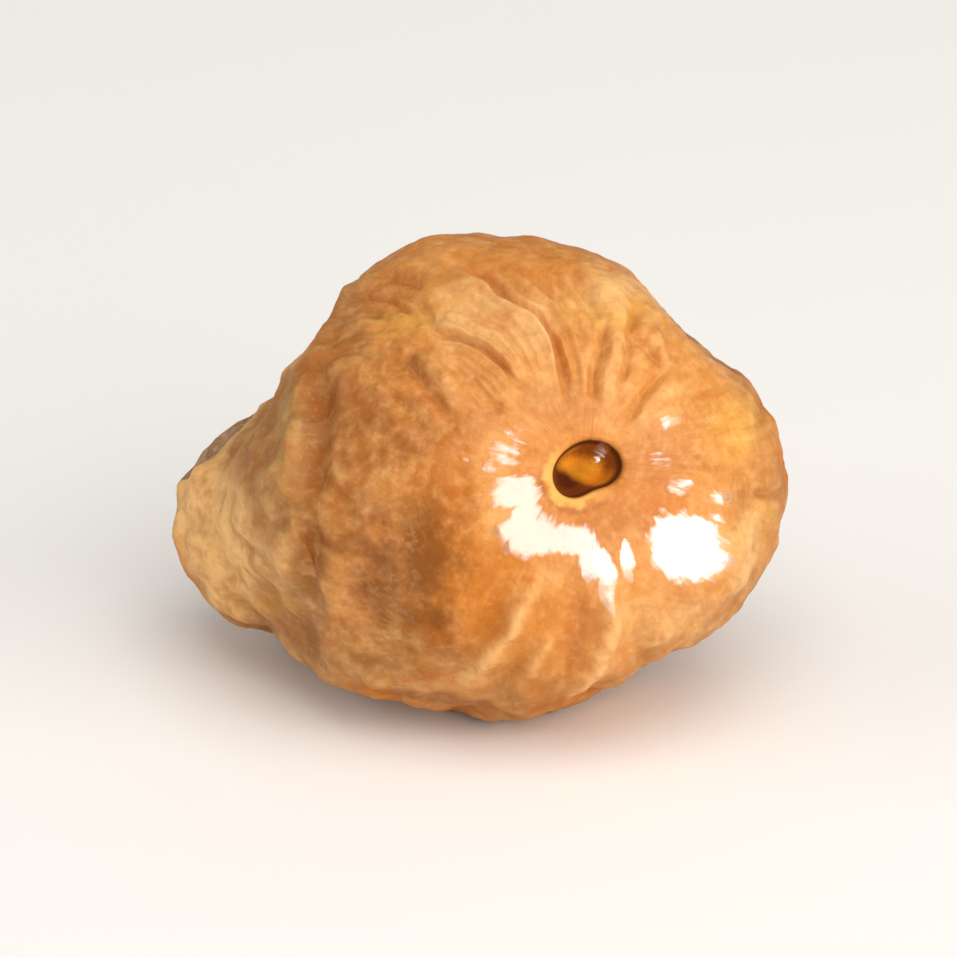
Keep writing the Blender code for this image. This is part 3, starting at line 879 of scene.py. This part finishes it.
class Skin:
    """The skin's mesh, and what its folds and colours need to know of each of its points."""

    def __init__(self, box):
        rings = np.arange(1, RINGS + 1) / (RINGS + 1)
        turn = 2.0 * math.pi * np.arange(SEGMENTS) / SEGMENTS
        self.mesh, fall, self.turn = ball_mesh(math.pi * rings ** RING_CROWDING, turn)
        self.fall = ringed(fall, self.turn)
        self.from_edge = self.fall - hole_edge(self.turn)
        self.d = directions(self.fall, swayed(self.fall, self.turn))
        self.form()
        self.front()
        self.zones()
        self.fold(box)
        self.keep_places()
        self.keep_tints()

    def move_to(self, points):
        self.mesh.vertices.foreach_set("co", points.astype(np.float32).ravel())
        self.mesh.update()

    def normals(self):
        n = np.empty(len(self.mesh.vertices) * 3)
        self.mesh.vertex_normals.foreach_get("vector", n)
        return n.reshape(-1, 3)

    def keep(self, name, values):
        """Keep a number or a vector of each point for the material."""
        kind, part = ("FLOAT", "value") if values.ndim == 1 else ("FLOAT_VECTOR", "vector")
        data = self.mesh.attributes.new(name, kind, "POINT").data
        data.foreach_set(part, values.astype(np.float32).ravel())

    def form(self):
        """The smooth form with its eye and its scar."""
        reach = reach_of_form(self.d) + swells(self.d) + eye_relief(self.fall, self.turn)
        self.p, self.scar, self.brim = scarred(self.d * reach[:, None], self.fall)
        self.move_to(self.p)

    def front(self):
        """Which points face the photograph, where it shows them in millimetres, and its flat spots."""
        cosine = self.normals() @ FRONT_TOWARDS
        self.in_front = ease(*FRONT_SIDE, cosine)
        self.at_back = ease(*BACK_SIDE, -cosine)
        self.facing = ease(*FOLD_FACING, cosine)
        self.seen = np.stack((self.p[:, 0], self.p @ FRONT_UP), 1) / MM
        self.p = pressed(self.p, self.seen, self.facing)
        self.move_to(self.p)

    def zones(self):
        """Where the skin is traced from the photograph, near the eye, on the neck or dry."""
        self.wobble = np.stack([speckle(self.p, *place) for place in WOBBLES], 1)
        self.broad, self.patch = speckle(self.p, *BROAD), speckle(self.p, *PATCH)
        self.off_eye = ease(*OFF_EYE_FALL, self.fall)
        self.off_scar = fade(*SMOOTH_FALL, self.fall)
        self.off_neck = 1.0 - (1.0 - WRINKLE_NECK_SHARE) * ease(*WRINKLE_FADE_FALL, self.fall)
        self.off_neck *= self.off_scar
        self.traced = spots(self.seen, TRACED) * self.facing
        self.untraced = 1.0 - TRACED_OFF_WRINKLES * self.traced
        angle = angle_to(self.d, EYE) + DRY_BROAD * self.broad + DRY_PATCH * self.patch
        self.dry = ease(*DRY_ANGLE, angle - SUPPLE_DELAY * around(self.d, *SUPPLE))

    def pleats(self):
        depth = wrinkles(self.fall, self.turn, *PLEATS)
        on_neck = 1.0 - (1.0 - PLEAT_NECK_SHARE) * ease(*PLEAT_FADE_FALL, self.fall)
        depth *= self.off_eye * on_neck * self.off_scar
        return depth * pleated(self.d) * (1.0 - TRACED_OFF_PLEATS * self.traced)

    def puckers(self):
        """The pucker by the eye's hole, and the groove beside it."""
        pucker = wrinkles(self.fall, self.turn, *PUCKER) * ease(*PUCKER_OFF, self.from_edge)
        pucker *= fade(*PUCKER_END_FALL, self.fall) * ease(*PUCKER_SIDE, np.cos(self.turn - PUCKER_TURN))
        off = self.from_edge - GROOVE_OFF - GROOVE_SWAY * self.patch
        side = -np.cos(self.turn - GROOVE_TURN) + GROOVE_RAGGED * self.patch
        return pucker, hill(off / GROOVE_HALF_WIDTH) * ease(*GROOVE_SIDE, side)

    def features(self):
        """How strong each feature of the skin is at each point, and where the crests are that get a painted
        highlight.
        """
        fall, turn = self.fall, self.turn
        share, shoulder = pleated(self.d), around(self.d, *SHOULDER)
        ridge, crease, crest = creases(self.seen + FOLD_WOBBLE * self.wobble)
        fine = wrinkles(fall, turn, *FINE) * self.off_neck * self.off_eye
        fine *= weighed(FINE_SHARES, share, shoulder) * self.untraced * (1.0 + BACK_WRINKLES * self.at_back)
        tiny = wrinkles(fall, turn + TINY_SWAY * self.patch, *TINY) * self.off_neck
        tiny *= ease(*TINY_FALL, fall) * weighed(TINY_SHARES, share, shoulder)
        short = wrinkles(fall, turn + SHORT_SWAY * self.patch, *SHORT) * self.off_eye
        pucker, groove = self.puckers()
        rough = (SUPPLE_PEBBLE_SHARE + (1.0 - SUPPLE_PEBBLE_SHARE) * self.dry) * self.off_eye
        found = {
            "ridge": ridge * self.facing,
            "crease": crease * self.facing,
            "pleat": self.pleats(),
            "fine": fine,
            "tiny": tiny,
            "short": short * self.off_neck * self.untraced,
            "pucker": pucker,
            "groove": groove,
            "lump": lumps(self.p, fall),
            "pebble": speckle(self.p, *PEBBLE) * rough,
            "grit": speckle(self.p, *GRIT) * rough,
        }
        return found, crest * self.facing

    def fold(self, box):
        """The skin raised and pressed by its features, and laid in the CAD solid's box."""
        found, crest = self.features()
        height, hollow, raised = sum(np.outer(FEATURES[name], strength) for name, strength in found.items())
        flattened = spots(self.seen, [(1.0, middle, outer) for middle, _, outer, _, _ in FACETS])
        height *= FACET_RELIEF + (1.0 - FACET_RELIEF) * (1.0 - flattened * self.facing)
        self.p = laid(self.p + self.normals() * (height * MM)[:, None])
        self.move_to(fitted(self.p, box))
        self.groove = found["groove"]
        # For the colour: painted shade in hollows and creases, and painted highlight on raised parts and
        # crests.
        self.keep("deep", np.clip(hollow, 0.0, MOST_PAINTED_SHADE))
        self.keep("raised", np.clip(RIDGE_LIGHT_EVERYWHERE + raised, 0.0, 1.0))
        self.keep("crest", crest)

    def keep_places(self):
        """What the material needs to know besides the features and the tints."""
        cos, sin = np.cos(self.turn), np.sin(self.turn)
        above_eye = (1.0 - self.off_eye) * ease(*ABOVE_EYE, sin) * ease(*ABOVE_EYE_PATCH, self.patch)
        streaks = weighed(STREAK_SHARES, self.off_eye, above_eye)
        self.keep("streaky", streaks * self.untraced * self.off_neck)
        self.keep("dry", self.dry)
        self.keep("even", self.traced)
        self.keep("scar", self.scar)
        self.keep("brim", self.brim)
        self.keep("from_edge", self.from_edge)
        self.keep("hole_right", self.fall * cos / HOLE_REACH)
        self.keep("hole_up", self.fall * sin / HOLE_REACH)
        self.keep("ribs", np.stack((RIBS_REACH * cos, RIBS_REACH * sin, RIBS_CHANGE * self.fall), 1))

    def tints_behind(self):
        found = {}
        for name, (strength, size, offset, low, high) in BEHIND.items():
            found[name] = strength * ease(low, high, speckle(self.p, size * MM, offset))
        found["amber"] = ease(*BROAD_TINTED, self.broad)
        found["ruddy"] = ease(*BROAD_TINTED, -self.broad)
        found["brown"] = BROWN_BEHIND * ease(*BROWN_PATCH, self.patch)
        found["olive"] *= self.dry
        # Painted shade in the groove by the eye's hole.
        found["dusk_and_shade"] = found["dusk_and_shade"] * self.dry + GROOVE_PAINTED_SHADE * self.groove
        return found

    def keep_tints(self):
        """How strong each tint is: the photograph's in front, and one of noise on the other sides."""
        behind = self.tints_behind()
        seen = self.seen + TINT_WOBBLE * self.wobble
        for name, rows in TINTS.items():
            hidden = behind[name] * (1.0 - FRONT_OVER_BEHIND * self.in_front)
            self.keep(name, spots(seen, rows) * self.in_front + hidden)


class Nodes:
    """Short calls for building one material's nodes."""

    def __init__(self, name):
        self.material = bpy.data.materials.new(name)
        self.material.use_nodes = True
        self.tree = self.material.node_tree
        self.shader = self.tree.nodes["Principled BSDF"]

    def new(self, kind, **settings):
        node = self.tree.nodes.new(kind)
        for name, value in settings.items():
            setattr(node, name, value)
        return node

    def put(self, socket, value):
        if isinstance(value, bpy.types.NodeSocket):
            self.tree.links.new(value, socket)
        elif isinstance(value, tuple) and len(value) == 3 and socket.type == "RGBA":
            socket.default_value = (*value, 1.0)
        else:
            socket.default_value = value

    def shade(self, name, value):
        self.put(self.shader.inputs[name], value)

    def math(self, operation, a, b):
        node = self.new("ShaderNodeMath", operation=operation)
        self.put(node.inputs[0], a)
        self.put(node.inputs[1], b)
        return node.outputs[0]

    def times(self, first, *others):
        for other in others:
            first = self.math("MULTIPLY", first, other)
        return first

    def plus(self, first, *others):
        for other in others:
            first = self.math("ADD", first, other)
        return first

    def less(self, a, b):
        return self.math("SUBTRACT", a, b)

    def ease(self, low, high, x):
        node = self.new("ShaderNodeMapRange", interpolation_type="SMOOTHSTEP")
        self.put(node.inputs["Value"], x)
        self.put(node.inputs["From Min"], low)
        self.put(node.inputs["From Max"], high)
        return node.outputs["Result"]

    def fade(self, low, high, x):
        return self.less(1.0, self.ease(low, high, x))

    def mix(self, a, b, share):
        """Colour a with its share of colour b over it."""
        node = self.new("ShaderNodeMix", data_type="RGBA")
        self.put(node.inputs[0], share)
        self.put(node.inputs[6], a)
        self.put(node.inputs[7], b)
        return node.outputs[2]

    def level(self, a, b, share):
        """The number that is share of the way from a to b."""
        node = self.new("ShaderNodeMix", data_type="FLOAT")
        self.put(node.inputs[0], share)
        self.put(node.inputs[2], a)
        self.put(node.inputs[3], b)
        return node.outputs[0]

    def kept(self, name):
        return self.new("ShaderNodeAttribute", attribute_name=name).outputs["Fac"]

    def place(self):
        return self.new("ShaderNodeTexCoord").outputs["Object"]

    def grain(self, size, detail, roughness, warp, where=None):
        """Noise whose features are about size across, in metres or in the units of where."""
        node = self.new("ShaderNodeTexNoise")
        self.put(node.inputs["Vector"], where or self.place())
        self.put(node.inputs["Scale"], 1.0 / size)
        self.put(node.inputs["Detail"], detail)
        self.put(node.inputs["Roughness"], roughness)
        self.put(node.inputs["Distortion"], warp)
        return node.outputs["Fac"]

    def swing(self, grain, height):
        """A noise about zero."""
        return self.times(self.less(grain, 0.5), height)

    def bump(self, height, strength, distance):
        node = self.new("ShaderNodeBump")
        self.put(node.inputs["Strength"], strength)
        self.put(node.inputs["Distance"], distance)
        self.put(node.inputs["Height"], height)
        return node.outputs[0]


class SkinMaterial(Nodes):
    """The skin: colours laid over each other, wet patches, and bumps finer than the mesh."""

    def __init__(self):
        super().__init__("fig_skin")
        ribs = self.new("ShaderNodeAttribute", attribute_name="ribs").outputs["Vector"]
        self.patch = self.grain(*PATCH_GRAIN)
        self.mottle = self.grain(*MOTTLE_GRAIN)
        self.fleck = self.grain(*FLECK_GRAIN)
        self.rib = self.grain(*RIB_GRAIN, ribs)
        self.dry, self.streaky, self.scar = self.kept("dry"), self.kept("streaky"), self.kept("scar")
        self.from_edge = self.kept("from_edge")
        self.hole_right, self.hole_up = self.kept("hole_right"), self.kept("hole_up")
        self.pit = self.fade(*PIT_EDGE, self.from_edge)
        rim_end = self.plus(self.from_edge, self.swing(self.mottle, RIM_RAGGED))
        self.rim = self.times(self.ease(*RIM_START, self.from_edge), self.fade(*RIM_END, rim_end))

        self.shade("Base Color", self.scar_colour(self.eye_colour(self.skin_colour())))
        self.shade("Roughness", self.roughness())
        self.shade("Coat Weight", self.coat())
        self.put_bumps()
        for name, value in SKIN_FINISH.items():
            self.shade(name, value)

    def hole_side(self, right, up):
        """How far a point is to the side of the hole that right and up name."""
        return self.plus(self.times(self.hole_right, right), self.times(self.hole_up, up))

    def skin_colour(self):
        """The colour of the skin apart from its eye and its scar, with painted shade in its hollows and
        painted highlights on its raised parts and crests.
        """
        colour = self.mix(GOLD, TAN, self.times(self.dry, DRY_TAN))
        for name, tint, ragged, share in TINT_LAYERS:
            strength = self.ease(*TINT_EDGE, self.plus(self.kept(name), self.swing(self.patch, ragged)))
            colour = self.mix(colour, tint, self.times(strength, share))
        high, low = self.ease(*MOTTLE_HIGH, self.mottle), self.fade(*MOTTLE_LOW, self.mottle)
        uneven = self.level(1.0, EVEN_SHARE, self.kept("even"))
        # The painted shade of hollows: deep, going dusky on dry skin.
        shade = self.mix(DEEP_AND_SHADE, DUSK_AND_SHADE, self.times(self.dry, DRY_SHADE_DUSK))
        low_pale = self.less(LOW_PALE, self.times(self.dry, LOW_DRY_PALE))
        raised_highlight = self.plus(RAISED_HIGHLIGHT, self.times(low, RAISED_LOW_HIGHLIGHT))
        # Colour, where it lies, and its share: painted highlight on raised parts and crests, painted shade
        # in hollows, and tones.
        for tint, where, share in (
            (DUSK_AND_SHADE, self.times(self.ease(*PATCH_DUSK, self.patch), self.dry), 0.32),
            # Painted highlight on raised parts.
            (PALE_AND_LIGHT, self.times(self.kept("raised"), raised_highlight), 0.42),
            # Painted shade in hollows and creases.
            (shade, self.kept("deep"), 0.62),
            (DEEP_AND_SHADE, self.times(self.ease(*PATCH_DEEP, self.patch), uneven), 0.20),
            (DEEP_AND_SHADE, self.times(high, uneven), 0.23),
            (PALE_AND_LIGHT, self.times(low, uneven), low_pale),
            (DEEP_AND_SHADE, self.times(self.ease(*RIB_HIGH, self.rib), self.streaky), 0.34),
            (PALE_AND_LIGHT, self.times(self.fade(*RIB_LOW, self.rib), self.streaky), 0.24),
            (PALE_AND_LIGHT, self.ease(*FLECK_HIGH, self.fleck), 0.16),
            (DEEP_AND_SHADE, self.fade(*FLECK_LOW, self.fleck), 0.22),
            (AMBER, self.kept("amber"), 0.30),
            # Painted highlight on the ridges' crests.
            (PALE_AND_LIGHT, self.times(self.kept("crest"), self.less(CREST_HIGHLIGHT_LEVEL, high)), 0.70),
            (BROWN, self.stains(), 0.92),
            (BLOOM, self.cracks(), 0.26),
        ):
            colour = self.mix(colour, tint, self.times(where, share))
        return colour

    def stains(self):
        by_patch, by_mottle = STAIN_RAGGED
        ragged = self.plus(self.kept("brown"), self.swing(self.patch, by_patch))
        return self.ease(*STAIN_EDGE, self.plus(ragged, self.swing(self.mottle, by_mottle)))

    def cracks(self):
        """A net of fine crumbled lines, where the bloom is cracked."""
        crumbs = self.new("ShaderNodeTexNoise")
        self.put(crumbs.inputs["Scale"], NET_CRUMBS)
        crumbled = self.new("ShaderNodeVectorMath", operation="MULTIPLY_ADD")
        self.put(crumbled.inputs[0], crumbs.outputs["Color"])
        self.put(crumbled.inputs[1], (NET_CRUMBLED,) * 3)
        self.put(crumbled.inputs[2], self.place())
        net = self.new("ShaderNodeTexVoronoi", feature="DISTANCE_TO_EDGE")
        self.put(net.inputs["Vector"], crumbled.outputs[0])
        self.put(net.inputs["Scale"], 1.0 / NET_SIZE)
        line = self.fade(*NET_LINE, net.outputs["Distance"])
        cracked = self.ease(*CRACKLE_EDGE, self.kept("crackle"))
        return self.times(line, self.ease(*NET_MOTTLE, self.mottle), cracked)

    def eye_colour(self, colour):
        """The skin's colour with the light rim of the eye's hole, and in it the syrup, with painted shadow
        at its lower left and edge, painted shade towards its walls and upper right, and painted light in
        the syrup's band.
        """
        shown = self.ease(*RIM_SHOWN, self.plus(self.hole_side(*RIM_SIDE), self.patch))
        colour = self.mix(colour, RIM, self.times(self.rim, shown, RIM_SHARE))
        across = self.plus(self.hole_side(*SYRUP_SIDE), self.swing(self.mottle, SYRUP_RAGGED))
        hollow = self.mix(PIT_PAINTED_SHADOW, SYRUP_AND_PAINTED_LIGHT, self.ease(*SYRUP_START, across))
        hollow = self.mix(hollow, PIT_SHADE, self.ease(*SYRUP_END, across))
        wall = self.ease(*PIT_WALL_SHADE, self.from_edge)
        hollow = self.mix(hollow, PIT_SHADE, self.times(wall, PIT_WALL_SHADE_SHARE))
        hollow = self.mix(hollow, PIT_PAINTED_SHADOW, self.ease(*PIT_EDGE_LINE_SHADE, self.from_edge))
        return self.mix(colour, hollow, self.pit)

    def scar_colour(self, colour):
        """The skin's colour with the scar's cork, darker at its edge, and its pale brim."""
        fibre = self.level(self.patch, self.grain(*FIBRE_GRAIN), FIBRE_SHARE)
        cork = self.mix(SCAR_DARK, SCAR_PALE, self.ease(*FIBRE_PALE, fibre))
        cork = self.mix(SCAR_DARK, cork, self.ease(*CORK_CORE, self.scar))
        colour = self.mix(colour, PALE_AND_LIGHT, self.times(self.kept("brim"), BRIM_SHARE))
        return self.mix(colour, cork, self.times(self.ease(*CORK_EDGE, self.scar), CORK_SHARE))

    def roughness(self):
        found = self.level(SUPPLE_ROUGHNESS, DRY_ROUGHNESS, self.dry)
        found = self.plus(found, self.swing(self.patch, PATCH_ROUGHNESS))
        found = self.level(found, PIT_ROUGHNESS, self.pit)
        return self.level(found, SCAR_ROUGHNESS, self.scar)

    def glint(self):
        """The spot of the syrup that shines."""
        places = zip((self.hole_right, self.hole_up), GLINT_PLACE, GLINT_HALF_SIZES)
        right, up = (self.math("DIVIDE", self.less(at, place), size) for at, place, size in places)
        return self.fade(*GLINT_EDGE, self.plus(self.times(right, right), self.times(up, up)))

    def coat(self):
        """How wet the skin is: fully in the ragged wet patches, and hardly at all elsewhere."""
        by_mottle, by_rib = WET_RAGGED
        ragged = self.plus(self.swing(self.mottle, by_mottle), self.swing(self.rib, by_rib))
        wet = self.ease(*WET_EDGE, self.plus(self.kept("wet"), ragged))
        found = self.level(self.times(self.less(1.0, self.dry), SUPPLE_COAT), 1.0, wet)
        found = self.level(found, self.glint(), self.pit)
        matt = self.math("MAXIMUM", self.scar, self.times(self.rim, RIM_SHARE))
        return self.times(found, self.less(1.0, matt))

    def put_bumps(self):
        by_mottle, by_fleck, by_rib = BUMP_SHARES
        height = self.plus(
            self.times(self.mottle, by_mottle),
            self.times(self.fleck, by_fleck),
            self.times(self.rib, self.streaky, by_rib),
        )
        wet_strength = self.times(self.less(1.0, self.pit), WET_BUMP_STRENGTH)
        self.shade("Normal", self.bump(height, BUMP_STRENGTH, BUMP_HEIGHT))
        self.shade("Coat Normal", self.bump(self.mottle, wet_strength, WET_BUMP_HEIGHT))


def floor_piece():
    bpy.ops.mesh.primitive_plane_add(size=FLOOR_SIZE, location=(0.0, 0.0, 0.0))
    floor = bpy.context.object
    floor.name = "floor"
    m = Nodes("floor_white")
    m.shade("Base Color", FLOOR_WHITE)
    m.shade("Roughness", FLOOR_ROUGHNESS)
    floor.data.materials.append(m.material)
    return floor


def look_from(name, data, towards, distance):
    """A new light or camera that looks at the fig from a direction (right, back, up)."""
    looker = bpy.data.objects.new(name, data)
    bpy.context.scene.collection.objects.link(looker)
    aim = Vector(AIM)
    looker.location = aim + Vector(towards) * distance
    looker.rotation_euler = (aim - looker.location).to_track_quat("-Z", "Y").to_euler()
    return looker


def softbox(name, towards, size, power, colour):
    light = bpy.data.lights.new(name, "AREA")
    light.shape = "RECTANGLE"
    light.size, light.size_y = size
    light.energy = power
    light.color = colour
    look_from(name, light, unit(*towards), LIGHT_DISTANCE)


def camera():
    data = bpy.data.cameras.new("camera")
    data.sensor_width = SENSOR_WIDTH
    data.lens = LENS
    data.clip_start = CLIP_START
    bpy.context.scene.camera = look_from("camera", data, FRONT_TOWARDS, CAMERA_DISTANCE)


def world():
    scene = bpy.context.scene
    scene.world = bpy.data.worlds.new("studio")
    scene.world.use_nodes = True
    background = scene.world.node_tree.nodes["Background"]
    background.inputs["Color"].default_value = (*AIR_WHITE, 1.0)
    background.inputs["Strength"].default_value = AIR_STRENGTH
    scene.view_settings.view_transform = "Standard"
    scene.view_settings.look = "None"


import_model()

skin = bpy.data.objects.new("fig_skin", Skin(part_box("dried_fig")).mesh)
bpy.context.scene.collection.objects.link(skin)
skin.data.shade_smooth()
skin.data.materials.append(SkinMaterial().material)
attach(skin, "root")
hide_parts("dried_fig")

floor_piece()
for light_name, settings in LIGHTS.items():
    softbox(light_name, *settings)
camera()
world()
